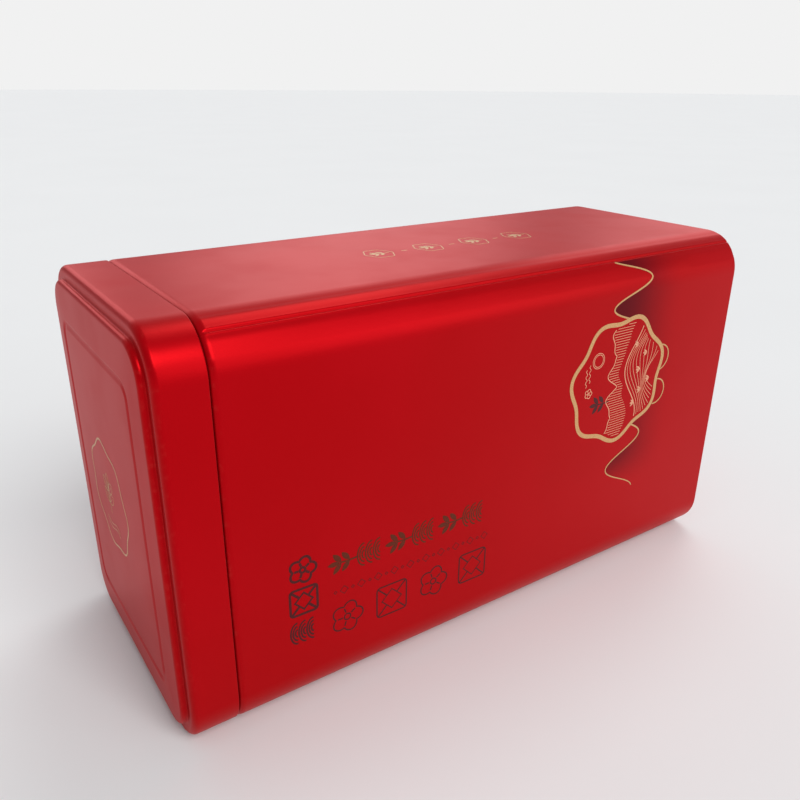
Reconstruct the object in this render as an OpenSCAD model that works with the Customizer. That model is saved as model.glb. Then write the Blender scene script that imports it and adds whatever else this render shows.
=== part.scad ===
// A printed rectangular tea tin lying on its narrow side, with its slip lid at -X and its base at +X.
// +Z is up, the printed front faces -Y, and the origin is under the middle of the tin, where it rests.
// The tin is drawn standing, base down and lid up, and laid() turns it onto its side.

/* [Tin] */
// Overall length, from the base rim to the raised panel of the lid
tin_length = 194; // [150:1:240]
// Width across the printed front, which is the height when the tin lies down
tin_width = 109; // [90:1:130]
// Depth from the printed front to the back
tin_depth = 82; // [70:1:100]
// Radius of the four long edges
corner_r = 12.3; // [11:0.1:15]
// Thickness of the tinplate
sheet_t = 0.3; // [0.2:0.05:0.35]

/* [Body] */
// Radius that the sheet turns in at the mouth and at the base
edge_r = 1; // [0.8:0.1:1.2]
// Width of the lip that is folded in under the base
base_lip = 3.2; // [2.5:0.1:4]
// Depth of the recess in the base
base_recess = 1.3; // [1.2:0.1:2.5]
// Angle of the lock seam round the top front corner, from the front face
seam_angle = 50.6; // [30:0.1:60]

/* [Outer lid] */
// Height of the skirt, from the gap to the shoulder
skirt_h = 12; // [11.5:0.5:14]
// Height of the raised panel above the shoulder
panel_rise = 2; // [1.8:0.1:2.4]
// Distance from the side of the tin to the flat of the raised panel
panel_inset = 4.6; // [4:0.1:5.5]
// Gap that shows between the lid and the body
lid_gap = 0.5; // [0.4:0.1:1]
// Distance from the top and bottom sides to the pressed frame line
frame_inset_w = 14.4; // [13.5:0.1:18]
// Distance from the front and back sides to the pressed frame line
frame_inset_d = 12.7; // [12.5:0.1:16]

/* [Neck collar] */
// Distance from the side of the tin to the collar, which leaves room for the hem of the lid
neck_inset = 1.2; // [1.1:0.05:1.5]
// Height of the collar above the gap
neck_h = 10.8; // [10:0.1:10.8]
// Length of the collar inside the body
neck_depth = 15; // [12:1:20]
// Outer radius of the rolled rim
curl_r = 0.9; // [0.8:0.05:1]

/* [Inner lid] */
// Depth of the pan below its flange
pan_depth = 8.4; // [8:0.1:9]
// Clearance between the inner lid and the rolled rim
plug_gap = 0.3; // [0.25:0.05:0.4]

/* [Pull ring] */
// Radius of the ring's wire
wire_r = 0.8; // [0.6:0.05:0.8]
// Radius of the ring's bow
bow_r = 9; // [8:0.5:11]
// Straight length of the ring between its corners and its bow
leg_l = 4; // [2:0.5:8]
// Length of the clip's barrel
barrel_l = 8; // [5:0.5:9]

/* [Hidden] */
$fn = 72;

top_z = tin_length;                        // face of the raised panel
shoulder_z = top_z - panel_rise;           // shoulder round the panel
gap_z = shoulder_z - skirt_h;              // middle of the gap
mouth_z = gap_z - lid_gap / 2;             // end of the body
hem_z = gap_z + lid_gap / 2;               // edge of the lid's skirt
hem_h = 2.6;                               // height of the folded hem
rim_z = gap_z + neck_h;                    // top of the rolled rim
collar_z = mouth_z - neck_depth;           // lower end of the collar
flange_z = rim_z + plug_gap + sheet_t;     // top of the inner lid's flange
pan_wall = neck_inset + 2 * curl_r + plug_gap + sheet_t;   // inset of the pan's inside wall
floor_z = flange_z - pan_depth;            // floor of the pan
press_d = 0.35;                            // depth of the pressed lines
press_w = 1.8;                             // width of the pressed lines
pin_r = wire_r + 0.07;                     // bore of the clip's barrel
clip_t = 0.4;                              // thickness of the clip
ring_z = floor_z + clip_t + pin_r + 0.03;  // axis that the ring turns on
bend_r = 2;                                // bends at the ring's corners
seam_w = 4;                                // width of the folded lock seam

// Lays the standing tin on its narrow side, with the lid towards -X
module laid() { translate([tin_length / 2, 0, tin_width / 2]) rotate([0, -90, 0]) children(); }

// Points of an arc round c, from angle a0 to angle a1
function arc(c, r, a0, a1, n = 8) = [for (i = [0 : n]) let (a = a0 + (a1 - a0) * i / n) c + r * [cos(a), sin(a)]];

// The far side of a bent sheet: path p moved sideways to its left by the sheet's thickness
function heading(a, b) = (b - a) / norm(b - a);
function left(v) = [-v[1], v[0]];
function mitre(p, i) = let (last = len(p) - 1,
    before = heading(p[max(i - 1, 0)], p[max(i, 1)]),
    after = heading(p[min(i, last - 1)], p[min(i + 1, last)]),
    m = left(before) + left(after)) 2 * m / (m * m);
function far_side(p) = [for (i = [len(p) - 1 : -1 : 0]) p[i] + sheet_t * mitre(p, i)];
function bent_sheet(p) = concat(p, far_side(p));

// Sweeps a section round a rounded rectangle w by d. In the section, x is measured out from the
// rectangle's own line, negative inwards, and y is the height.
module round_loop(w, d, r) {
    long = [w / 2 - r, d / 2 - r];
    for (i = [0 : 3]) {
        across = i % 2 == 0 ? long : [long[1], long[0]];
        rotate([0, 0, 90 * i]) translate([across[0], across[1], 0]) {
            rotate_extrude(angle = 90) translate([r, 0]) children();
            rotate([90, 0, 0]) linear_extrude(2 * across[1]) translate([r, 0]) children();
        }
    }
}

// The flat middle of a drawn lid or plate, which closes round_loop() between the corner centres
module middle(low, high) {
    translate([corner_r - tin_width / 2, corner_r - tin_depth / 2, low])
        cube([tin_width - 2 * corner_r, tin_depth - 2 * corner_r, high - low]);
}

// Section of a pressed line that goes from height z towards z + depth, along the outline of round_loop()
module press_section(z, depth, w) {
    polygon([[-w / 2, z], [-w / 4, z + depth], [w / 4, z + depth], [w / 2, z]]);
}

// Presses a rounded rectangle into a sheet: side_in is its hollow side, side_out its raised side
module pressed_line(w, d, side_in, side_out, way) {
    difference() {
        union() {
            children();
            round_loop(w, d, bend_r * 2) press_section(side_out - way * 0.01, way * press_d, press_w + 0.2);
        }
        round_loop(w, d, bend_r * 2) press_section(side_in - way * 0.01, way * press_d, press_w);
    }
}

// Body: one printed sheet, turned in at the mouth and folded in as a lip at the base
body_path = concat([[-base_lip, 0]], arc([-edge_r, edge_r], edge_r, 270, 360),
    arc([-edge_r, mouth_z - edge_r], edge_r, 0, 90), [[-neck_inset, mouth_z]]);
module body_wrap() {
    seam_x = tin_width / 2 - corner_r;
    seam_y = corner_r - tin_depth / 2;
    color("firebrick") laid() difference() {
        union() {
            round_loop(tin_width, tin_depth, corner_r) polygon(bent_sheet(body_path));
            // The folded lock seam on the inside
            translate([seam_x, seam_y, 5]) rotate([0, 0, seam_angle - 90])
                rotate_extrude(angle = seam_w * 180 / (PI * corner_r))
                    translate([corner_r - 3 * sheet_t, 0]) square([2.5 * sheet_t, collar_z - 7]);
        }
        // The fine line where the two edges of the sheet meet
        translate([seam_x, seam_y, -1]) rotate([0, 0, seam_angle - 90])
            translate([corner_r - sheet_t / 2, -0.25, 0]) cube([1, 0.5, mouth_z + 2]);
    }
}

// Base: a recessed plate held by the body's lip, with one pressed line
base_step = sheet_t + base_recess;
base_path = concat([[-corner_r, base_step]], arc([-base_lip - 1.8, base_step - 0.5], 0.5, 90, 0),
    arc([-base_lip - 0.8, sheet_t + 0.5], 0.5, 180, 270), arc([-edge_r, edge_r], edge_r - sheet_t, 270, 360),
    [[-sheet_t, 4]]);
module base_plate() {
    color("firebrick") laid()
        pressed_line(tin_width - 24, tin_depth - 24, base_step + sheet_t, base_step, -1) {
            round_loop(tin_width, tin_depth, corner_r) polygon(bent_sheet(base_path));
            middle(base_step, base_step + sheet_t);
        }
}

// Collar: a sleeve inside the body with a locking bead under the mouth, a neck and a rolled rim
curl_c = [-neck_inset - curl_r, rim_z - curl_r];
collar_path = concat([[-sheet_t - 0.1, collar_z], [-neck_inset, collar_z + 1.5]],
    arc([-neck_inset, mouth_z - 1.45], 0.75, -90, 90), arc(curl_c, curl_r, 0, 250, 16));
module neck_collar() {
    color("lightgray") laid() round_loop(tin_width, tin_depth, corner_r) polygon(bent_sheet(collar_path));
}

// Outer lid: drawn in one piece, with a hemmed edge, a shoulder and a raised panel with a frame line
lid_hem = concat([[-2 * sheet_t, hem_z + hem_h]], arc([-sheet_t, hem_z + sheet_t], sheet_t, 180, 360));
riser = panel_inset - edge_r;
lid_path = concat([[0, hem_z + hem_h]], arc([-edge_r, shoulder_z - edge_r], edge_r, 0, 90),
    arc([0.6 - riser, shoulder_z + 0.6], 0.6, 270, 180), arc([-panel_inset, top_z - edge_r], edge_r, 0, 90),
    [[-corner_r, top_z]]);
module outer_lid() {
    color("firebrick") laid()
        pressed_line(tin_width - 2 * frame_inset_w, tin_depth - 2 * frame_inset_d, top_z, top_z - sheet_t, -1) {
            round_loop(tin_width, tin_depth, corner_r) polygon(concat(lid_hem, bent_sheet(lid_path)));
            middle(top_z - sheet_t, top_z);
        }
}

// Inner lid: a plug pan whose flange covers the rolled rim
flange_in = pan_wall - 0.7;
pan_path = concat([[-neck_inset - 0.15, flange_z]], arc([-flange_in, flange_z - 0.7], 0.7, 90, 180),
    arc([-pan_wall - edge_r, floor_z + edge_r], edge_r, 0, -90), [[-corner_r, floor_z]]);
module inner_lid() {
    color("silver") laid() {
        round_loop(tin_width, tin_depth, corner_r) polygon(bent_sheet(pan_path));
        middle(floor_z - sheet_t, floor_z);
    }
}

// Clip: a strap welded to the pan's floor and rolled round the bar of the ring
module ring_clip() {
    plate_l = 9;
    color("silver") laid() difference() {
        union() {
            translate([0, barrel_l / 2, ring_z]) rotate([90, 0, 0]) cylinder(r = pin_r + clip_t - 0.02, h = barrel_l);
            translate([-0.3, -barrel_l / 2, floor_z]) cube([plate_l, barrel_l, clip_t]);
        }
        translate([0, barrel_l, ring_z]) rotate([90, 0, 0]) cylinder(r = pin_r, h = 2 * barrel_l);
        // Dimples of the two spot welds
        for (side = [-1, 1])
            translate([5.5, side * barrel_l / 4, floor_z + 0.9]) sphere(r = 0.8);
    }
}

// Pull ring: a D of round wire that hangs down from its bar
module wire_bend(turn, r, a) { rotate([0, 0, turn]) rotate_extrude(angle = a) translate([r, 0]) circle(r = wire_r); }
module pull_ring() {
    corner_y = bow_r - bend_r;
    color("gainsboro") laid() translate([0, 0, ring_z]) {
        translate([0, corner_y, 0]) rotate([90, 0, 0]) cylinder(r = wire_r, h = 2 * corner_y);
        for (side = [0, 1]) mirror([0, side, 0]) {
            translate([-bend_r, corner_y, 0]) wire_bend(0, bend_r, 90);
            translate([-bend_r, bow_r, 0]) rotate([0, -90, 0]) cylinder(r = wire_r, h = leg_l);
        }
        translate([-bend_r - leg_l, 0, 0]) wire_bend(90, bow_r, 180);
    }
}

body_wrap();
base_plate();
neck_collar();
outer_lid();
inner_lid();
ring_clip();
pull_ring();
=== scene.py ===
"""Looks of a printed tea tin that lies on its narrow side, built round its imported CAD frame.

The lid is at -X and the printed front faces -Y. Sheet pieces are worked out on the standing tin, in
millimetres, and lay() turns them onto their side. Print is a thin closed skin of ink on the sheet.
"""
import itertools
import math

import bmesh
import bpy
from mathutils import Matrix, Vector, noise


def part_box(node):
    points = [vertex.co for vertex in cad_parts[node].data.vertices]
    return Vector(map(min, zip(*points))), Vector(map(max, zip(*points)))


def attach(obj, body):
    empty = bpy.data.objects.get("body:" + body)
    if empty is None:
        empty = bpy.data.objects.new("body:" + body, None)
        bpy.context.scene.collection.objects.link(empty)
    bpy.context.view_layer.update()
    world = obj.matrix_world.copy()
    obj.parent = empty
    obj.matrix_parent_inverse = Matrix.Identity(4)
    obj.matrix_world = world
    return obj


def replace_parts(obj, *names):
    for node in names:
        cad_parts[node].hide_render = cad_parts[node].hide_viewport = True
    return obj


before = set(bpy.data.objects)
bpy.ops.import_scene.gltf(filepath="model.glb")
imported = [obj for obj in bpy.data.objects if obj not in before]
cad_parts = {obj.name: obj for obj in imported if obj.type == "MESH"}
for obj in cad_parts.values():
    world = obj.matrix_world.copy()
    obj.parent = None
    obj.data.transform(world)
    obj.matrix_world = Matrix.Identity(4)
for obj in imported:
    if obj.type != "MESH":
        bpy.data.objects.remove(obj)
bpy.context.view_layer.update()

MM = 0.001


# ---------------------------------------------------------------- sizes, in millimetres

def box_mm(node):
    """A CAD node's lowest and highest corners."""
    low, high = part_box(node)
    return low / MM, high / MM


lid_low, lid_high = box_mm("outer_lid")
body_low, body_high = box_mm("body_wrap")
collar_low, collar_high = box_mm("neck_collar")

LENGTH = body_high.x - lid_low.x
WIDTH = body_high.z - body_low.z
DEPTH = body_high.y - body_low.y
BASE_X = body_high.x

# Heights are measured up the standing tin from its base rim, and insets in from its side.
CORNER_R = 12.3                      # of the four long edges
SHEET = 0.3                          # thickness of the tinplate
EDGE_R = 1.0                         # bend at the base
MOUTH = BASE_X - body_low.x          # height of the body's mouth
HEM = BASE_X - lid_high.x - 0.28     # the hem all but rests on the body's mouth
SHOULDER = LENGTH - 2.0              # height of the step round the lid's panel
RIM = BASE_X - collar_low.x          # height of the collar's rolled rim
COLLAR_END = BASE_X - collar_high.x  # height of its lower end
NECK_INSET = 1.2
CURL_R = 0.9                         # of the rolled rim
LIP = 3.2                            # width of the lip folded in at the base
BASE_STEP = 1.6                      # depth of the base plate behind the base rim
PANEL_INSET = 4.6                    # from the side to the flat of the lid's panel
FLANGE = RIM + 0.6                   # height of the inner lid's flange
PAN_FLOOR = FLANGE - 8.4
PAN_INSET = 3.6
FRAME_W = WIDTH - 2 * 14.4           # outline of the lid's pressed frame line
FRAME_D = DEPTH - 2 * 12.7
PRESS_R = 4                          # corner radius of the pressed lines
PRESS_DEPTH = 0.35
SEAM_ANGLE = 50.6                    # of the lock seam, in degrees round the corner from the front
RING_AXIS = PAN_FLOOR + 1.3          # height of the ring's bar
WIRE_R = 0.8

FRONT_CROWN = 0.3        # the wide sides bow out a little
SIDE_CROWN = -0.12       # the narrow sides bow in, so that the tin rests on its edges
PANEL_CROWN = 0.3


def lay(x, y, z):
    """A point of the standing tin, in millimetres, where it lies in the row frame, in metres."""
    return Vector((BASE_X - z, y, x + WIDTH / 2)) * MM


# ---------------------------------------------------------------- sheet pieces

def turn(start, end, steps):
    """Angles in radians from start to end, which are in degrees."""
    return [math.radians(start + (end - start) * i / steps) for i in range(steps + 1)]


def arc(cx, cy, r, start, end, steps=8):
    """Points of an arc, between angles in degrees."""
    return [(cx + r * math.cos(a), cy + r * math.sin(a)) for a in turn(start, end, steps)]


def line(start, end, steps):
    """Points between two ends, without the ends."""
    return [(start[0] + (end[0] - start[0]) * i / steps, start[1] + (end[1] - start[1]) * i / steps)
            for i in range(1, steps)]


def far_side(path, thickness=SHEET):
    """The path moved to its left by the sheet's thickness, from its end back to its start."""
    moved = []
    for i, point in enumerate(path):
        before = Vector(path[max(i, 1)]) - Vector(path[max(i - 1, 0)])
        after = Vector(path[min(i + 1, len(path) - 1)]) - Vector(path[min(i, len(path) - 2)])
        normal = before.normalized().orthogonal() + after.normalized().orthogonal()
        shift = normal * (2 * thickness / normal.length_squared)
        moved.append((point[0] + shift.x, point[1] + shift.y))
    return moved[::-1]


class Station:
    """One place on a rounded rectangle: its point on the corner-centre rectangle, as shares of the
    half sizes, its way out, its share of the way along a side, and its distance from the lock seam."""

    def __init__(self, ux, uy, angle, side=None, along=0.0, from_seam=None):
        self.ux, self.uy = ux, uy
        self.nx, self.ny = math.cos(angle), math.sin(angle)
        self.side, self.along, self.from_seam = side, along, from_seam


def stations(corner_steps=14, side_steps=(10, 14), seam=()):
    """Stations anticlockwise from the corner at +x, -y, the top front one of the lying tin. seam
    lists the distances from the lock seam that get a station each."""
    corners = ((1, -1), (1, 1), (-1, 1), (-1, -1))
    found = []
    for i, (ux, uy) in enumerate(corners):
        start = math.radians(90 * i - 90)
        turns = [math.radians(90 * k / corner_steps) for k in range(corner_steps + 1)]
        at_seam = math.radians(SEAM_ANGLE)
        if i == 0 and seam:
            reach = max(abs(s) for s in seam) / CORNER_R
            turns = [t for t in turns if abs(t - at_seam) > reach + 0.02]
            turns = sorted(turns + [at_seam + s / CORNER_R for s in seam])
        for t in turns:
            from_seam = (t - at_seam) * CORNER_R if i == 0 else None
            found.append(Station(ux, uy, start + t, from_seam=from_seam))
        vx, vy = corners[(i + 1) % 4]
        steps = side_steps[i % 2]
        for k in range(1, steps):
            share = k / steps
            found.append(Station(ux + (vx - ux) * share, uy + (vy - uy) * share, start + math.pi / 2,
                                 side=i, along=share))
    return found


def rings(path, w=None, d=None, r=CORNER_R):
    """Rounded rectangles w by d, one for each point of a path of (distance out, height)."""
    w, d = w or WIDTH, d or DEPTH
    return [(w + 2 * q, d + 2 * q, max(r + q, 0.05), z) for q, z in path]


def shrinking(ring, steps=8):
    """Rings that close in on the middle of the last ring."""
    w, d, r, z = ring
    return [(w * f, d * f, r * f, z) for f in [1 - i / (steps + 0.3) for i in range(1, steps + 1)]]


def mesh_object(name, points, faces, skins=None, smooth_angle=40):
    """A smooth-shaded object in the scene. skins gives each face's material."""
    mesh = bpy.data.meshes.new(name)
    mesh.from_pydata(points, [], faces)
    if skins:
        mesh.polygons.foreach_set("material_index", skins)
    work = bmesh.new()
    work.from_mesh(mesh)
    bmesh.ops.recalc_face_normals(work, faces=work.faces)
    work.to_mesh(mesh)
    work.free()
    mesh.shade_smooth()
    mesh.set_sharp_from_angle(angle=math.radians(smooth_angle))
    piece = bpy.data.objects.new(name, mesh)
    bpy.context.scene.collection.objects.link(piece)
    return piece


def add_layer(piece, name, values):
    """Stores a value for each point of a piece, which its material can read."""
    piece.data.attributes.new(name, "FLOAT", "POINT").data.foreach_set("value", values)


def bend_scuff_and_highlight(ring_list, last):
    """How much each ring shows scuffs and a painted highlight, from 0 to 1. Rings up to the last one do,
    where they turn an edge.
    """
    amounts = [0.0] * len(ring_list)
    spots = [Vector((w / 2, z)) for w, _, _, z in ring_list]
    for i in range(1, last):
        before, after = spots[i] - spots[i - 1], spots[i + 1] - spots[i]
        if before.length > 1e-6 and after.length > 1e-6:
            bend = before.angle(after) / (0.5 * (before.length + after.length))
            amounts[i] = smooth_step(0.3, 0.7, bend)
    return amounts


def sheet_piece(name, outside, inside, round_about, closed, relief=None, scuffed_highlit_rings=None):
    """A closed piece of sheet: its outside rings, then its inside rings back to the start.
    closed says that the rings close in on the middle, which is then filled on both faces.
    Faces of the outside take the first material, and all the others take the second. rubbed is how
    many rings of the outside may show scuffs and the painted highlight along their bends."""
    ring_list = outside + inside
    count = len(round_about)
    points = []
    for w, d, r, z in ring_list:
        for s in round_about:
            x = s.ux * (w / 2 - r) + s.nx * r
            y = s.uy * (d / 2 - r) + s.ny * r
            x, y, z_here = relief(s, x, y, z) if relief else (x, y, z)
            points.append(lay(x, y, z_here))
    faces, skins = [], []
    fold = len(outside) - 1
    for i in range(len(ring_list)):
        j = (i + 1) % len(ring_list)
        if closed and i == fold:
            faces += [[i * count + k for k in range(count)], [j * count + k for k in range(count)]]
            skins += [0, 1]
            continue
        for k in range(count):
            after = (k + 1) % count
            faces.append((i * count + k, i * count + after, j * count + after, j * count + k))
            skins.append(0 if i < fold else 1)
    piece = mesh_object(name, points, faces, skins)
    # Scuffs and a painted highlight along the bends, which the red print reads
    scuff_and_highlight = [amount for amount in bend_scuff_and_highlight(ring_list, scuffed_highlit_rings or fold) for _ in range(count)]
    add_layer(piece, "scuff_and_highlight", scuff_and_highlight)
    weighted = piece.modifiers.new("even_normals", "WEIGHTED_NORMAL")
    weighted.keep_sharp = True
    weighted.weight = 90
    return piece


def smooth_step(low, high, value):
    """0 below low, 1 above high, and a smooth rise between."""
    t = min(max((value - low) / (high - low), 0.0), 1.0)
    return t * t * (3 - 2 * t)


def waviness(x, y, z, size=38.0, height=0.035):
    """Slow unevenness of a flat sheet, in millimetres."""
    return height * noise.noise(Vector((x, y, z)) / size + Vector((7.3, 1.9, 4.1)))


def side_crown(side, along, z):
    """How far a side of the body bows out, at a share along it and a height up the standing tin."""
    height = FRONT_CROWN if side % 2 else SIDE_CROWN
    ends = smooth_step(0, 45, z) * smooth_step(0, 45, MOUTH - z)
    return height * math.sin(math.pi * along) ** 2 * ends


def side_bulge(side, along, x, y, z):
    """How far a flat side of the body stands out, bow and waviness together."""
    along = min(max(along, 0.0), 1.0)
    ends = smooth_step(0, 20, z) * smooth_step(0, 20, MOUTH - z)
    return side_crown(side, along, z) + waviness(x, y, z) * math.sin(math.pi * along) * ends


def seam_relief(s):
    """The lock seam, s millimetres up from the line where its two edges meet."""
    groove = -0.24 * math.exp(-(s / 0.22) ** 2)
    lips = 0.06 * math.exp(-((abs(s) - 0.6) / 0.3) ** 2)
    fold = 0.16 * smooth_step(0.1, 0.9, s) * (1 - smooth_step(3.2, 4.8, s))
    return groove + lips + fold


def body_relief(s, x, y, z):
    """A point of the body's wall with its bow, waviness and seam."""
    out = 0.0
    if s.side is not None:
        out += side_bulge(s.side, s.along, x, y, z)
    if s.from_seam is not None:
        out += seam_relief(s.from_seam) * smooth_step(-0.5, 1.5, z) * smooth_step(0.4, 2.2, MOUTH - z)
    return x + s.nx * out, y + s.ny * out, z


def make_body():
    """The printed wrap: a lip at the base, the wall, and an elliptical turn at the mouth."""
    turn_in, turn_down = NECK_INSET - 0.05, 1.7
    turn_foot = MOUTH - turn_down
    edge_gap = 0.2                   # from each bend to a ring that keeps the wall flat
    wall = [(0, EDGE_R + edge_gap)] + line((0, EDGE_R), (0, turn_foot), 26) + [(0, turn_foot - edge_gap)]
    path = [(-LIP, 0.0)] + arc(-EDGE_R, EDGE_R, EDGE_R, 270, 360) + wall
    path += [(turn_in * (math.cos(a) - 1), turn_foot + turn_down * math.sin(a)) for a in turn(0, 90, 10)]
    path += [(-NECK_INSET, MOUTH)]
    seam = [k * 0.1 for k in range(-12, 13)]
    seam += [-3, -2, -1.6, 1.6, 2, 2.4, 2.8, 3.2, 3.6, 4, 4.4, 4.8, 5.2]
    return sheet_piece("body_sheet", rings(path), rings(far_side(path)), stations(16, (10, 16), seam),
                       False, body_relief)


def groove(w, d, r, z, depth, half, steps=8):
    """Rings across a pressed line that follows its own rounded rectangle, from outside to inside."""
    spots = [half - 2 * half * i / steps for i in range(steps + 1)]
    path = [(q, z + depth * (0.5 + 0.5 * math.cos(math.pi * q / half))) for q in spots]
    return rings(path, w, d, r)


def pressed_panel(w, d, r, z, depth, half=1.1):
    """One face of a panel, from its pressed line in to its middle."""
    pressed = groove(w, d, r, z, depth, half)
    return pressed + shrinking(pressed[-1])


def panel_crown(_, x, y, z):
    """A point of the lid, raised where it is on the panel. The station isn't needed."""
    if z < SHOULDER + 1.3:
        return x, y, z
    share = max(0.0, 1 - (2 * x / (WIDTH - 12)) ** 2) * max(0.0, 1 - (2 * y / (DEPTH - 12)) ** 2)
    return x, y, z + (PANEL_CROWN + waviness(x, y, z, 30, 0.1)) * share


def make_lid():
    """The outer lid: a hemmed skirt, a shoulder, and a raised panel whose rim drops a little."""
    shoulder_r, foot_r, rise_r, drop = 1.8, 0.4, 1.2, 0.4
    step = PANEL_INSET - EDGE_R
    hem_top = HEM + 2.6
    hem = arc(-SHEET, HEM + SHEET, SHEET, 180, 360, 10)
    wall = [(0, hem_top)] + line((0, hem_top), (0, SHOULDER - shoulder_r), 5)
    shoulder = arc(-shoulder_r, SHOULDER - shoulder_r, shoulder_r, 0, 90)
    shoulder += arc(foot_r - step, SHOULDER + foot_r, foot_r, 270, 180)
    panel = arc(-step - rise_r, LENGTH - drop - rise_r, rise_r, 0, 88)[1:]
    panel += [(-step - rise_r - 1.5, LENGTH - drop * 0.82), (-9, LENGTH - drop * 0.45)]
    drawn = wall + shoulder + panel
    top, under = (pressed_panel(FRAME_W, FRAME_D, PRESS_R, z, -PRESS_DEPTH, 1.4)
                  for z in (LENGTH, LENGTH - SHEET))
    outside = rings([(-2 * SHEET, hem_top)] + hem + drawn) + top
    inside = under[::-1] + rings(far_side(drawn))
    return sheet_piece("lid_sheet", outside, inside, stations(16, (10, 14)), True, panel_crown,
                       scuffed_highlit_rings=len(hem) + len(drawn))


def make_base():
    """The base plate: a wall inside the body's, a flange on its lip, and a recessed panel."""
    bend_r = 0.5
    path = [(-SHEET, 4.0), (-SHEET, 2.4)] + arc(-EDGE_R, EDGE_R, EDGE_R - SHEET, 360, 270)
    path += arc(-LIP - 0.8, SHEET + bend_r, bend_r, 270, 180)
    path += arc(-LIP - 1.8, BASE_STEP - bend_r, bend_r, 0, 90)
    path += [(-LIP - 2.4, BASE_STEP), (-9, BASE_STEP)]
    face, back = (pressed_panel(WIDTH - 24, DEPTH - 24, PRESS_R, z, -PRESS_DEPTH)
                  for z in (BASE_STEP, BASE_STEP + SHEET))
    inside = back[::-1] + rings(far_side(path, -SHEET))
    return sheet_piece("base_sheet", rings(path) + face, inside, stations(14, (10, 12)), True,
                       scuffed_highlit_rings=len(path) - 8)


def make_collar():
    """The neck: a sleeve inside the body, a locking bead at its mouth, and a rolled rim."""
    path = [(-SHEET - 0.1, COLLAR_END), (-NECK_INSET, COLLAR_END + 1.5), (-NECK_INSET, MOUTH - 2.6)]
    path += arc(-NECK_INSET, MOUTH - 1.45, 0.75, -90, 90, 10)
    path += [(-NECK_INSET, MOUTH - 0.3), (-NECK_INSET, MOUTH + 4)]
    path += arc(-NECK_INSET - CURL_R, RIM - CURL_R, CURL_R, 0, 250, 18)
    return sheet_piece("collar_sheet", rings(path), rings(far_side(path)), stations(14, (6, 8)), False)


def make_plug():
    """The inner lid: a flange over the rolled rim, and a pan with a raised bead in its floor."""
    lip_r = 0.7
    path = [(-NECK_INSET - 0.15, FLANGE)] + arc(lip_r - PAN_INSET, FLANGE - lip_r, lip_r, 90, 180)
    path += arc(-PAN_INSET - EDGE_R, PAN_FLOOR + EDGE_R, EDGE_R, 0, -90)
    path += [(-PAN_INSET - 1.6, PAN_FLOOR), (-9, PAN_FLOOR)]
    face, back = (pressed_panel(WIDTH - 30, DEPTH - 30, 5, z, 0.45, 1.4)
                  for z in (PAN_FLOOR, PAN_FLOOR - SHEET))
    inside = back[::-1] + rings(far_side(path))
    return sheet_piece("plug_sheet", rings(path) + face, inside, stations(14, (8, 10)), True)


def make_ring():
    """A closed D of round wire that hangs from its bar."""
    bend, bow, leg, sides = 2.0, 9.0, 4.0, 20
    corner = bow - bend
    route = [(0.0, share * corner) for share in (-0.6, 0, 0.6)]
    route += [(bend * (math.cos(a) - 1), corner + bend * math.sin(a)) for a in turn(0, 90, 8)]
    route += [(bow * math.cos(a) - bend - leg, bow * math.sin(a)) for a in turn(90, 270, 40)]
    route += [(bend * (math.cos(a) - 1), bend * math.sin(a) - corner) for a in turn(-90, 0, 8)]
    points, faces = [], []
    count = len(route)
    for i, (x, y) in enumerate(route):
        ahead, behind = route[(i + 1) % count], route[i - 1]
        along = Vector((ahead[0] - behind[0], ahead[1] - behind[1])).normalized()
        for a in turn(0, 360, sides)[:-1]:
            out = WIRE_R * math.cos(a)
            points.append(lay(x + along.y * out, y - along.x * out, RING_AXIS + WIRE_R * math.sin(a)))
        after = (i + 1) % count
        for k in range(sides):
            m = (k + 1) % sides
            faces.append((i * sides + k, after * sides + k, after * sides + m, i * sides + m))
    return mesh_object("ring_wire", points, faces)


# ---------------------------------------------------------------- the printed surfaces

def front_at(x, v, lift):
    """A point on the printed front: x along the tin in the row frame, v up it from the bottom edge and
    on round the top edge, both in millimetres, and lift millimetres off the sheet."""
    z = BASE_X - x
    flat_end = WIDTH - CORNER_R
    if v > flat_end:
        a = (v - flat_end) / CORNER_R
        out = CORNER_R + lift + seam_relief((a - math.radians(SEAM_ANGLE)) * CORNER_R)
        return lay(WIDTH / 2 - CORNER_R + out * math.sin(a), CORNER_R - DEPTH / 2 - out * math.cos(a), z)
    along = (v - CORNER_R) / (WIDTH - 2 * CORNER_R)
    spot = (v - WIDTH / 2, -DEPTH / 2, z)
    return lay(spot[0], spot[1] - side_bulge(3, along, *spot) - lift, z)


def top_at(x, y, lift):
    """A point on the narrow side that faces up."""
    z = BASE_X - x
    along = (y + DEPTH / 2 - CORNER_R) / (DEPTH - 2 * CORNER_R)
    return lay(WIDTH / 2 + side_bulge(0, along, WIDTH / 2, y, z) + lift, y, z)


def lid_at(y, v, lift):
    """A point on the raised panel of the lid: y across it, and v up it from the bottom edge."""
    x, y, z = panel_crown(None, v - WIDTH / 2, y, LENGTH)
    return lay(x, y, z + lift)


def curve(points, steps=10):
    """A smooth line through given points."""
    count = len(points)
    found = []
    for i in range(count - 1):
        p = [Vector(points[min(max(k, 0), count - 1)]) for k in range(i - 1, i + 3)]
        for step in range(steps):
            t = step / steps
            spot = 0.5 * (2 * p[1] + (p[2] - p[0]) * t + (2 * p[0] - 5 * p[1] + 4 * p[2] - p[3]) * t * t
                          + (3 * p[1] - p[0] - 3 * p[2] + p[3]) * t ** 3)
            found.append((spot.x, spot.y))
    return found + [points[-1]]


def circle(cx, cy, r, steps):
    """Points of a whole circle, none twice."""
    return [(cx + r * math.cos(a), cy + r * math.sin(a)) for a in turn(0, 360, steps)[:-1]]


# How far films of ink reach off the sheet, in millimetres
FOOT = 0.004             # the underside of a film on the sheet
SHADE_TOP = 0.018
FILM_TOP = 0.03
GROUND_TOP = 0.032       # the medallion's red ground
LINE_TOP = 0.05
ART_FOOT = 0.03          # the medallion's art, which starts inside its ground
ART_TOP = 0.055
RIM_TOP = 0.06


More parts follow.
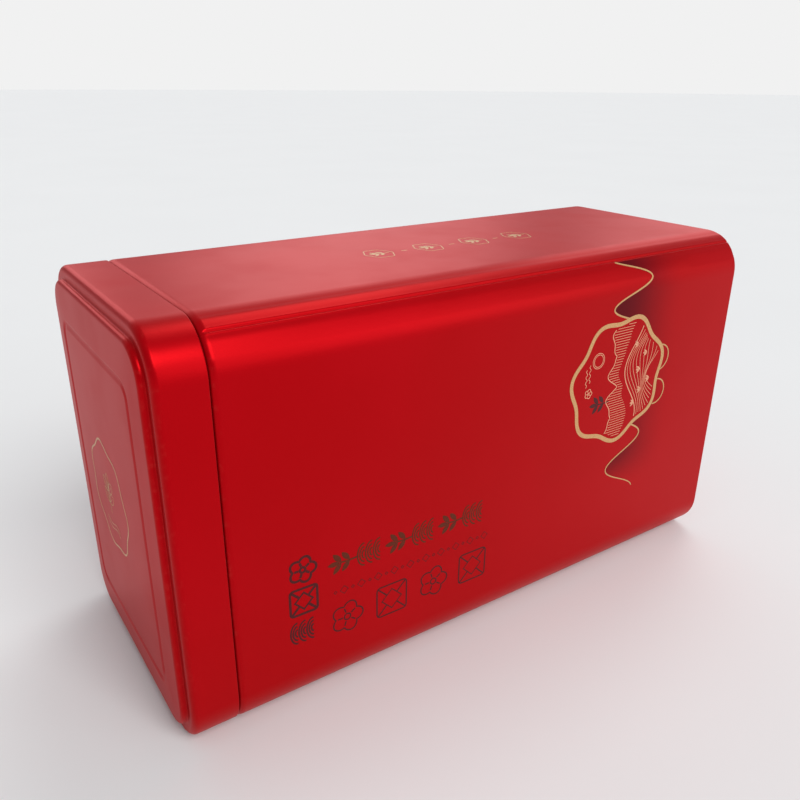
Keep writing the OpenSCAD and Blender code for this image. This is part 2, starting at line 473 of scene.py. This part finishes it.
class Ink:
    """Strokes and patches of one ink on one printed surface, gathered into one mesh of closed skins."""

    def __init__(self, place, top, bottom=FOOT):
        """place turns two coordinates and a lift into a point; the film reaches from bottom to top."""
        self.place, self.top, self.bottom = place, top, bottom
        self.points, self.faces = [], []

    def stroke(self, route, width, closed=False):
        """A line of ink. width is in millimetres, or a function of the share of the way along."""
        count = len(route)
        first = len(self.points)
        for i, (u, v) in enumerate(route):
            before = route[i - 1] if closed or i else route[i]
            after = route[(i + 1) % count] if closed or i < count - 1 else route[i]
            along = Vector((after[0] - before[0], after[1] - before[1])).normalized()
            half = (width(i / (count - 1)) if callable(width) else width) / 2
            for side, lift in ((1, self.bottom), (-1, self.bottom), (-1, self.top), (1, self.top)):
                self.points.append(self.place(u - side * half * along.y, v + side * half * along.x, lift))
        for i in range(count if closed else count - 1):
            here, there = first + 4 * i, first + 4 * ((i + 1) % count)
            for k in range(4):
                m = (k + 1) % 4
                self.faces.append((here + k, here + m, there + m, there + k))
        if not closed:
            last = first + 4 * (count - 1)
            self.faces += [(first, first + 1, first + 2, first + 3), (last, last + 3, last + 2, last + 1)]

    def patch(self, outline, rounds=2):
        """A filled shape, which is seen whole from its middle."""
        count = len(outline)
        cx = sum(p[0] for p in outline) / count
        cy = sum(p[1] for p in outline) / count
        first = len(self.points)
        levels = [(1 - r / rounds, self.bottom) for r in range(rounds - 1, -1, -1)]
        levels += [(1 - r / rounds, self.top) for r in range(rounds)]
        self.points.append(self.place(cx, cy, self.bottom))
        for share, lift in levels:
            self.points += [self.place(cx + (u - cx) * share, cy + (v - cy) * share, lift)
                            for u, v in outline]
        self.points.append(self.place(cx, cy, self.top))
        last = len(self.points) - 1
        for k in range(count):
            m = (k + 1) % count
            self.faces.append((first, first + 1 + m, first + 1 + k))
            for level in range(len(levels) - 1):
                low = first + 1 + level * count
                self.faces.append((low + k, low + m, low + count + m, low + count + k))
            top = last - count
            self.faces.append((last, top + k, top + m))

    def piece(self, name):
        """The finished object."""
        return mesh_object(name, self.points, self.faces, smooth_angle=30)


# ---------------------------------------------------------------- printed art, all of it plain ornament

MEDALLION = (45.0, 70.0)         # its middle on the front
MEDALLION_R = 19.3
LOBES = 7
LOBE_DEPTH = 0.055               # as a share of the radius
LOBE_TILT = 0.3                  # in radians


def plain_wave(start, end, middle, reach, crest, length, steps=44):
    """A plain wave that runs down the front from height start to end, about the line x = middle."""
    heights = [start + (end - start) * k / steps for k in range(steps + 1)]
    return [(middle + reach * math.cos(2 * math.pi * (v - crest) / length), v) for v in heights]


UPPER_WAVE = plain_wave(107, 89, 48, 8, 101, 16)
LOWER_WAVE = plain_wave(53.5, 30, 51, 7, 49.5, 20)


def swell(a, lobes=LOBES, depth=LOBE_DEPTH, tilt=LOBE_TILT):
    """How far out a lobed window reaches in a direction, as a share of its radius."""
    return 1 + depth * math.cos(lobes * (a - tilt))


def lobed(cx, cy, r, *shape, steps=126):
    """The outline of a lobed window. shape is what swell() takes after its direction."""
    return [(cx + r * swell(a, *shape) * math.cos(a), cy + r * swell(a, *shape) * math.sin(a))
            for a in turn(0, 360, steps)[:-1]]


def leaf(ink, u, v, angle, length, width, line_w=None):
    """A leaf from its foot at u, v: filled, or in outline with a midrib where line_w is given."""
    a = math.radians(angle)

    def spot(share, across=0.0):
        along = length * share
        return (u + along * math.cos(a) - across * math.sin(a),
                v + along * math.sin(a) + across * math.cos(a))

    if line_w is None:
        ink.stroke([spot(k / 8) for k in range(9)],
                   lambda share: max(width * math.sin(math.pi * share) ** 0.8, 0.04))
        return
    side = [(k / 10, width / 2 * math.sin(math.pi * k / 10) ** 0.8) for k in range(11)]
    other_side = [(share, -across) for share, across in side[-2:0:-1]]
    ink.stroke([spot(*p) for p in side + other_side], line_w, closed=True)
    ink.stroke([spot(0.06), spot(0.7)], line_w * 0.8)


def sprig(ink, u, v, size, line_w, angle=180, outlined=False):
    """A tea sprig: a stem, a bud and two pairs of leaves. It grows the way of angle."""
    a = math.radians(angle)
    rib = line_w if outlined else None
    wide = 1.35 if outlined else 1.0

    def spot(along, across=0.0):
        return (u + size * (along * math.cos(a) - across * math.sin(a)),
                v + size * (along * math.sin(a) + across * math.cos(a)))

    ink.stroke([spot(-0.5), spot(-0.2, 0.02), spot(0.1)], line_w)
    leaf(ink, *spot(0.1), angle, size * 0.4, size * 0.16 * wide, rib)
    for along, length in ((0.05, 0.42), (-0.22, 0.4)):
        for side in (-1, 1):
            leaf(ink, *spot(along, side * 0.01), angle + side * 50, size * length, size * 0.17 * wide, rib)


def lattice(ink, u, v, size, line_w):
    """A rounded window with a diamond lattice."""
    h, c = size / 2, size * 0.12
    corners = ((1, -1), (1, 1), (-1, 1), (-1, -1))
    outline = []
    for i, (sx, sy) in enumerate(corners):
        outline += [(u + sx * (h - c) + c * math.cos(a), v + sy * (h - c) + c * math.sin(a))
                    for a in turn(90 * i - 90, 90 * i, 4)]
    ink.stroke(outline, line_w, closed=True)
    d = size * 0.33
    ink.stroke([(u + d, v), (u, v + d), (u - d, v), (u, v - d)], line_w, closed=True)
    for sx, sy in corners:
        ink.stroke([(u + sx * reach, v + sy * reach) for reach in (d / 2, h - c * 0.4)], line_w)


def blossom(ink, u, v, size, line_w):
    """An open flower of round petals."""
    petals, r = 5, size / 2

    def edge(a):
        reach = r * (0.72 + 0.28 * abs(math.cos(petals * a / 2)))
        return u + reach * math.cos(a), v + reach * math.sin(a)

    ink.stroke([edge(a) for a in turn(0, 360, 60)[:-1]], line_w, closed=True)
    ink.stroke(circle(u, v, r * 0.2, 12), line_w, closed=True)
    for k in range(petals):
        a = math.radians(360 / petals * k + 180)
        ink.stroke([(u + r * 0.3 * math.cos(a), v + r * 0.3 * math.sin(a)),
                    (u + r * 0.6 * math.cos(a), v + r * 0.6 * math.sin(a))], line_w)


def scales(ink, u, v, size, line_w):
    """Three nested waves, one over the other."""
    for row in (-0.28, 0.02, 0.32):
        for r in (0.42, 0.28, 0.14):
            ink.stroke([(u + size * row - size * r * 0.62 * math.sin(a), v + size * (r * math.cos(a)))
                        for a in turn(0, 180, 12)], line_w)


def front_ornaments():
    """Rows of small ornaments near the lid, in two browns, and a band of beads between them."""
    bold, fine = Ink(front_at, FILM_TOP), Ink(front_at, FILM_TOP)
    for k in range(6):
        u = -52.6 + 8.6 * k
        if k % 2:
            scales(bold, u, 41.4, 8.0, 0.42)
        else:
            sprig(bold, u, 41.4, 9.0, 0.5)
    for k, v in enumerate((43.2, 34.0, 24.8)):
        (blossom, lattice, scales)[k](fine, -64.0, v, 7.6, 0.7 if k < 2 else 0.5)
    for k, draw in enumerate((blossom, lattice, blossom, lattice)):
        draw(fine, -51.6 + 14.0 * k, 23.8, 9.6, 0.42)
    for k in range(20):
        u = -55.0 + 2.6 * k
        d = 1.2 if k % 2 else 0.45
        fine.stroke([(u + d, 32.7), (u, 32.7 + d), (u - d, 32.7), (u, 32.7 - d)], 0.22, closed=True)
    return bold.piece("brown_ornaments"), fine.piece("maroon_ornaments")


def in_medallion(u, v, margin=1.3):
    """Whether a spot on the front is inside the medallion and clear of its rim."""
    du, dv = u - MEDALLION[0], v - MEDALLION[1]
    return math.hypot(du, dv) < MEDALLION_R * swell(math.atan2(dv, du)) - margin


def draw_inside(ink, route, width):
    """Strokes the stretches of a route that lie inside the medallion."""
    for inside, stretch in itertools.groupby(route, lambda spot: in_medallion(*spot)):
        run = list(stretch)
        if inside and len(run) > 1:
            ink.stroke(run, width)


def landscape():
    """Hills, terraces and clouds in fine gold lines. Upright, its sky is towards the lid."""
    ink = Ink(front_at, ART_TOP, ART_FOOT)
    cx, cv = MEDALLION

    def spot(across, up):
        return cx - up, cv + across

    def line_of(height, steps):
        places = [-19 + 38 * k / steps for k in range(steps + 1)]
        return [spot(across, height(across)) for across in places]

    def far_ridge(a):
        return 1.0 + 3.2 * abs(math.sin(0.31 * a + 0.6)) + 0.8 * math.sin(0.9 * a)

    def near_ridge(a):
        return -6.0 + 3.4 * math.sin(0.2 * a + 1.0)

    draw_inside(ink, line_of(far_ridge, 110), 0.3)
    for k in range(46):
        a = -18.5 + 0.82 * k
        top = far_ridge(a) - 0.5
        draw_inside(ink, [spot(a, top - (top - near_ridge(a) - 0.8) * s / 6) for s in range(5)], 0.16)
    draw_inside(ink, line_of(near_ridge, 90), 0.34)
    for k in range(1, 11):
        terrace = line_of(lambda a: near_ridge(a) - 1.15 * k + 0.25 * k * math.sin(0.33 * a - 0.4 * k), 70)
        draw_inside(ink, terrace, 0.17)
    for across, up in ((-9, -8.5), (-5, -11), (2, -9.5), (7, -12), (10.5, -7.5), (-2, -14.5)):
        for side in (-1, 0, 1):
            leaf(ink, *spot(across, up), 180 + 35 * side, 1.9, 0.6)
    for r in (2.4, 1.9):
        ink.stroke([spot(*p) for p in circle(8.2, 9.6, r, 28)], 0.2, closed=True)
    for up, shift in ((14.2, 3.4), (12.9, 4.6)):
        cloud = [spot(shift + 2.8 * s / 12, up + 0.3 * math.sin(s * 0.8)) for s in range(-12, 13)]
        draw_inside(ink, cloud, 0.2)
    return ink.piece("medallion_landscape")


def medallion_sprigs():
    """A dark sprig and a gold blossom on the landscape."""
    dark, gold = Ink(front_at, ART_TOP, ART_FOOT), Ink(front_at, ART_TOP, ART_FOOT)
    sprig(dark, MEDALLION[0] - 7.6, MEDALLION[1] - 6.0, 8.4, 0.4)
    blossom(gold, MEDALLION[0] - 12.8, MEDALLION[1] - 1.6, 3.0, 0.24)
    return dark.piece("medallion_sprig"), gold.piece("medallion_blossom")


def medallion_ground():
    """The red ground that the medallion's art is printed on."""
    ink = Ink(front_at, GROUND_TOP)
    ink.patch(lobed(*MEDALLION, MEDALLION_R - 0.2), rounds=7)
    return ink.piece("medallion_ground")


def medallion_rim():
    """The medallion's gold rim."""
    ink = Ink(front_at, RIM_TOP)
    ink.stroke(lobed(*MEDALLION, MEDALLION_R), 1.35, closed=True)
    return ink.piece("medallion_rim")


def hill_line():
    """The gold waves above and below the medallion, and two small arcs beside it."""
    ink = Ink(front_at, LINE_TOP)
    ink.stroke(UPPER_WAVE, 0.52)
    ink.stroke(LOWER_WAVE, lambda share: 0.52 - 0.2 * share)
    for v in (74.0, 62.5):
        bump = arc(63.5, v, 4.2, 100, -100, 40)
        ink.stroke([spot for spot in bump if not in_medallion(*spot, margin=0)], 0.42)
    return ink.piece("hill_line")


def top_badges():
    """Four small lobed badges with a leaf in each, and dashes between them."""
    ink = Ink(top_at, FILM_TOP)
    for k in range(4):
        u = -16.4 + 17.2 * k
        badge = lobed(u, -2.0, 5.0, 6, 0.05, 0.0, steps=60)
        ink.stroke([(u + (x - u) * 0.84, y) for x, y in badge], 0.3, closed=True)
        sprig(ink, u, -2.0, 6.6, 0.3)
        if k < 3:
            ink.stroke([(u + 7.6, -2.1), (u + 9.6, -2.1)], 0.4)
    return ink.piece("top_badges")


def lid_medallion():
    """A lobed window on the lid, with a sprig over two waves."""
    ink = Ink(lid_at, FILM_TOP)
    cy, cv = 2.2, 53.6
    ink.stroke(lobed(cy, cv, 15.2, 7, 0.045, 0.5), 0.5, closed=True)
    sprig(ink, cy, cv + 1.0, 12.0, 0.2, angle=90, outlined=True)
    for low in (-8.4, -9.8):
        wave = curve([(cy - 8.0 - low / 4, cv + low), (cy - 3, cv + low + 0.9),
                      (cy + 2, cv + low - 0.4), (cy + 7.6 + low / 4, cv + low + 0.5)])
        ink.stroke(wave, 0.2)
    return ink.piece("lid_medallion")


def hill_shade():
    """The shadow printed to the right of the hill line, which fades into the red."""
    far, columns = 74.0, 22
    edge = UPPER_WAVE + [(MEDALLION[0] + 2, v) for v in (84, 80, 75, 70, 65, 60, 56)] + LOWER_WAVE
    count = len(edge)
    points, faces, shades = [], [], []
    for lift in (FOOT, SHADE_TOP):
        for u, v in edge:
            foot = smooth_step(0, 16, v - edge[-1][1])
            for c in range(columns + 1):
                x = u + (far - u) * c / columns
                points.append(front_at(x, v, lift))
                shades.append((1 - smooth_step(43, 72, x)) * foot)
    row, level = columns + 1, count * (columns + 1)
    for i in range(count - 1):
        for c in range(columns):
            a = i * row + c
            faces.append((a, a + 1, a + row + 1, a + row))
            faces.append((level + a, level + a + row, level + a + row + 1, level + a + 1))
    for i in range(count - 1):
        for a, step in ((i * row, row), (i * row + columns, row)):
            faces.append((a, a + step, level + a + step, level + a))
    for c in range(columns):
        for a in (c, (count - 1) * row + c):
            faces.append((a, a + 1, level + a + 1, level + a))
    piece = mesh_object("hill_shade", points, faces, smooth_angle=30)
    add_layer(piece, "shade", shades)
    return piece


# ---------------------------------------------------------------- finishes

class Finish:
    """A material and a short way to add nodes to it."""

    def __init__(self, name, **constants):
        """constants are set on the shader's own sockets."""
        self.material = bpy.data.materials.new(name)
        self.material.use_nodes = True
        self.tree = self.material.node_tree
        self.shader = self.tree.nodes["Principled BSDF"]
        self.coords = self.add("ShaderNodeTexCoord").outputs["Object"]
        for socket, value in constants.items():
            self.shader.inputs[socket.replace("_", " ")].default_value = value

    def add(self, kind, inputs=None, **settings):
        """A new node, with values or other nodes' outputs on its inputs."""
        node = self.tree.nodes.new(kind)
        for key, value in settings.items():
            setattr(node, key, value)
        for key, value in (inputs or {}).items():
            self.feed(node.inputs[key], value)
        return node

    def feed(self, socket, value):
        """Links a socket to value, or sets it to value."""
        if isinstance(value, bpy.types.NodeSocket):
            self.tree.links.new(value, socket)
        else:
            socket.default_value = value

    def surface(self, **values):
        """Feeds the shader's sockets."""
        for key, value in values.items():
            self.feed(self.shader.inputs[key.replace("_", " ")], value)

    def grain(self, size_mm, detail=2.0, stretch=(1, 1, 1), offset=(0, 0, 0)):
        """Noise from 0 to 1 with features of about this size, drawn out by stretch."""
        place = self.add("ShaderNodeMapping", {"Vector": self.coords, "Location": offset,
                                               "Scale": [1 / (size_mm * MM * k) for k in stretch]})
        return self.add("ShaderNodeTexNoise", {"Vector": place.outputs["Vector"], "Scale": 1.0,
                                               "Detail": detail, "Roughness": 0.55}).outputs["Fac"]

    def ramp(self, value, low, high, to_low=0.0, to_high=1.0):
        """A smooth rise from to_low to to_high, as value goes from low to high."""
        return self.add("ShaderNodeMapRange", {"Value": value, "From Min": low, "From Max": high,
                                               "To Min": to_low, "To Max": to_high},
                        interpolation_type="SMOOTHSTEP").outputs["Result"]

    def sum_of(self, *terms):
        """The sum of (value, weight) terms."""
        total = 0.0
        for value, weight in terms:
            term = self.add("ShaderNodeMath", {0: value, 1: weight, 2: total}, operation="MULTIPLY_ADD")
            total = term.outputs[0]
        return total

    def product(self, a, b):
        """a times b."""
        return self.add("ShaderNodeMath", {0: a, 1: b}, operation="MULTIPLY").outputs[0]

    def mix(self, share, first, second):
        """A colour that goes from first to second as share goes from 0 to 1."""
        node = self.add("ShaderNodeMix", data_type="RGBA")
        for socket, value in ((node.inputs[0], share), (node.inputs[6], first), (node.inputs[7], second)):
            self.feed(socket, value)
        return node.outputs[2]

    def bump(self, height, distance_mm, strength):
        """A normal for a surface with this relief."""
        return self.add("ShaderNodeBump", {"Height": height, "Distance": distance_mm * MM,
                                           "Strength": strength}).outputs["Normal"]

    def attribute(self, name):
        """A layer that add_layer() stored on the piece, or 0 where it has none."""
        return self.add("ShaderNodeAttribute", attribute_name=name).outputs["Fac"]


RED = (0.445, 0.0, 0.004, 1)
RED_DEEP = (0.42, 0.0, 0.003, 1)
MAROON = (0.10, 0.0, 0.006, 1)


def red_print():
    """Opaque red ink under a satin varnish, on rolled sheet."""
    look = Finish("red_print_varnish", Metallic=0.42, IOR=1.5, Specular_IOR_Level=0.4,
                  Specular_Tint=(1.0, 0.14, 0.12, 1))
    tone = look.mix(look.ramp(look.grain(55, 2), 0.35, 0.65), RED_DEEP, RED)
    tone = look.mix(look.attribute("shade"), tone, MAROON)
    rolled = look.grain(0.5, 3, (14, 1, 1))
    # Paler red along the bends: partly scuffed paint, partly a painted highlight
    scuff_and_highlight_spots = look.ramp(look.grain(1.6, 4, offset=(3, 5, 7)), 0.5, 0.75, 0.0, 0.18)
    scuffed_and_highlit = look.product(look.attribute("scuff_and_highlight"), scuff_and_highlight_spots)
    tone = look.mix(scuffed_and_highlit, tone, (0.56, 0.05, 0.04, 1))
    smudge = look.ramp(look.grain(22, 2, offset=(1, 2, 3)), 0.4, 0.75)
    rough = look.sum_of((look.grain(9, 2), 0.03), (smudge, 0.04), (rolled, 0.02), (scuffed_and_highlit, 0.2), (1.0, 0.31))
    peel = look.sum_of((look.grain(1.1, 1), 0.75), (rolled, 0.25))
    look.surface(Base_Color=tone, Roughness=rough, Normal=look.bump(peel, 0.003, 0.5))
    return look.material


def printed_ink(name, colour, pale, metallic, roughness):
    """A printed ink with a slightly uneven film."""
    look = Finish(name, Metallic=metallic, IOR=1.5, Specular_IOR_Level=0.25)
    film = look.ramp(look.grain(0.35, 3), 0.3, 0.75)
    rough = look.sum_of((look.grain(2.5, 3), 0.12), (1.0, roughness - 0.06))
    look.surface(Base_Color=look.mix(film, colour + (1,), pale + (1,)), Roughness=rough,
                 Normal=look.bump(look.grain(0.2, 2), 0.004, 0.4))
    return look.material


def tinplate(name="bare_tinplate", dull=0.3, metallic=1.0):
    """Bare tinplate: fine rolling lines under a soft bright coat of tin, with stains."""
    look = Finish(name, Metallic=metallic)
    rolled = look.grain(0.12, 3, (60, 1, 1))
    spangle = look.grain(6, 4)
    tone = look.mix(look.ramp(spangle, 0.3, 0.7), (0.63, 0.62, 0.59, 1), (0.70, 0.69, 0.66, 1))
    stain = look.ramp(look.grain(28, 5, offset=(4, 4, 1)), 0.55, 0.8)
    tone = look.mix(look.product(stain, 0.25), tone, (0.50, 0.48, 0.44, 1))
    rough = look.sum_of((rolled, 0.12), (spangle, 0.05), (stain, 0.06), (1.0, dull - 0.07))
    relief = look.sum_of((rolled, 0.6), (spangle, 0.4))
    look.surface(Base_Color=tone, Roughness=rough, Normal=look.bump(relief, 0.006, 0.5))
    return look.material


def steel_wire():
    """Drawn wire with a nickel finish."""
    look = Finish("nickel_wire", Metallic=1.0)
    drawn = look.grain(0.1, 2, (1, 30, 1))
    dull = look.ramp(look.grain(3, 4), 0.4, 0.75)
    look.surface(Base_Color=look.mix(dull, (0.74, 0.72, 0.68, 1), (0.60, 0.58, 0.54, 1)),
                 Roughness=look.sum_of((drawn, 0.08), (dull, 0.1), (1.0, 0.12)),
                 Normal=look.bump(drawn, 0.004, 0.5))
    return look.material


RED_PRINT, TINPLATE, WIRE = red_print(), tinplate(), steel_wire()
INSIDE = tinplate("lacquered_tinplate", 0.45, 0.7)
GOLD = printed_ink("gold_ink", (0.52, 0.29, 0.12), (0.66, 0.38, 0.17), 0.3, 0.38)
PINK_GOLD = printed_ink("pale_gold_ink", (0.70, 0.30, 0.17), (0.82, 0.42, 0.26), 0.2, 0.42)
BROWN = printed_ink("brown_ink", (0.095, 0.010, 0.0), (0.12, 0.015, 0.0), 0.1, 0.40)
DARK_RED = printed_ink("maroon_ink", (0.055, 0.001, 0.002), (0.075, 0.002, 0.003), 0.0, 0.40)


# ---------------------------------------------------------------- assembly

def dress(piece, body, slot, *materials):
    """Gives a piece its materials and body. slot is not used."""
    for material in materials:
        piece.data.materials.append(material)
    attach(piece, body)
    return piece


for make, body, slot, node, skins in (
        (make_body, "tin", "red_print", "body_wrap", (RED_PRINT, INSIDE)),
        (make_base, "tin", "red_print", "base_plate", (RED_PRINT, INSIDE)),
        (make_collar, "tin", "bare_tinplate", "neck_collar", (TINPLATE, TINPLATE)),
        (make_lid, "slip_lid", "red_print", "outer_lid", (RED_PRINT, TINPLATE)),
        (make_plug, "plug_lid", "bare_tinplate", "inner_lid", (TINPLATE, TINPLATE)),
        (make_ring, "ring", "ring_wire", "pull_ring", (WIRE,))):
    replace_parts(dress(make(), body, slot, *skins), node)

brown, maroon = front_ornaments()
dress(brown, "tin", "dark_ink", BROWN)
dress(maroon, "tin", "dark_ink", DARK_RED)
dress(hill_shade(), "tin", "red_print", RED_PRINT)
dress(medallion_ground(), "tin", "red_print", RED_PRINT)
dress(landscape(), "tin", "gold_ink", PINK_GOLD)
dark_sprig, gold_blossom = medallion_sprigs()
dress(dark_sprig, "tin", "dark_ink", DARK_RED)
dress(gold_blossom, "tin", "gold_ink", PINK_GOLD)
dress(medallion_rim(), "tin", "gold_ink", GOLD)
dress(hill_line(), "tin", "gold_ink", GOLD)
dress(top_badges(), "tin", "gold_ink", GOLD)
dress(lid_medallion(), "slip_lid", "gold_ink", GOLD)

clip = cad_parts["ring_clip"].data
clip.materials.clear()
clip.materials.append(TINPLATE)


# ---------------------------------------------------------------- stage, light and camera

def studio_floor(radius=9.0, sides=96):
    """A wide round pale floor."""
    rims = (0.25, 0.6, 1.2, 2.5, 5.0, radius)
    points = [(0.0, 0.0, 0.0)]
    points += [(x, y, 0.0) for r in rims for x, y in circle(0.0, 0.0, r, sides)]
    faces = [(0, 1 + k, 1 + (k + 1) % sides) for k in range(sides)]
    for i in range(len(rims) - 1):
        for k in range(sides):
            m, a, b = (k + 1) % sides, 1 + i * sides, 1 + (i + 1) * sides
            faces.append((a + k, b + k, b + m, a + m))
    floor = mesh_object("studio_floor", points, faces)
    look = Finish("pale_floor", Roughness=0.9, Specular_IOR_Level=0.0)
    look.surface(Base_Color=look.mix(look.grain(180, 3), (0.84, 0.84, 0.84, 1), (0.87, 0.87, 0.87, 1)),
                 Normal=look.bump(look.grain(3, 3), 0.05, 0.2))
    floor.data.materials.append(look.material)


def soft_light(name, azimuth, elevation, strength, spread=26):
    """An even far light from a wide source. Azimuth is anticlockwise from +X, in degrees."""
    light = bpy.data.lights.new(name, "SUN")
    light.energy, light.angle = strength, math.radians(spread)
    lamp = bpy.data.objects.new(name, light)
    lamp.rotation_euler = (0, math.radians(90 - elevation), math.radians(azimuth))
    bpy.context.scene.collection.objects.link(lamp)


studio_floor()
soft_light("key_light", 275, 45, 1.4, 30)
soft_light("side_key_light", 300, 15, 0.75, 40)
soft_light("high_light", 30, 60, 0.5)
for azimuth in (30, 60, 90):
    soft_light(f"back_light_{azimuth}", azimuth, 20, 0.23)


def soft_room(seen=0.88, ambient=0.40):
    """A pale room: its walls are seen at their full brightness, and light the tin only a little."""
    world = bpy.data.worlds.new("soft_room")
    world.use_nodes = True
    tree = world.node_tree
    room = tree.nodes["Background"]
    wall = tree.nodes.new("ShaderNodeBackground")
    ray, mix = tree.nodes.new("ShaderNodeLightPath"), tree.nodes.new("ShaderNodeMixShader")
    for glow, colour, strength in ((room, (0.94, 0.97, 1.0, 1), ambient),
                                   (wall, (1.0, 1.0, 1.0, 1), seen)):
        glow.inputs["Color"].default_value = colour
        glow.inputs["Strength"].default_value = strength
    tree.links.new(ray.outputs["Is Camera Ray"], mix.inputs["Fac"])
    tree.links.new(room.outputs["Background"], mix.inputs[1])
    tree.links.new(wall.outputs["Background"], mix.inputs[2])
    tree.links.new(mix.outputs["Shader"], tree.nodes["World Output"].inputs["Surface"])
    bpy.context.scene.world = world


soft_room()

scene = bpy.context.scene
scene.view_settings.view_transform = "Standard"

CAMERA_AT = (-134.2, -186.5, 155.5)     # in millimetres, in the row frame
CAMERA_SWING = 34.2                     # degrees to the right of +Y
CAMERA_DOWN = 22.7                      # degrees below the horizon
CAMERA_ROLL = 0.4
CAMERA_LENS = 34.9                      # in millimetres, on a sensor 36 mm wide

camera_data = bpy.data.cameras.new("camera")
camera_data.lens, camera_data.sensor_width = CAMERA_LENS, 36.0
camera_data.clip_start = 0.01
camera = bpy.data.objects.new("camera", camera_data)
camera.matrix_world = (Matrix.Translation(Vector(CAMERA_AT) * MM)
                       @ Matrix.Rotation(math.radians(-CAMERA_SWING), 4, "Z")
                       @ Matrix.Rotation(math.radians(90 - CAMERA_DOWN), 4, "X")
                       @ Matrix.Rotation(math.radians(CAMERA_ROLL), 4, "Z"))
scene.collection.objects.link(camera)
scene.camera = camera
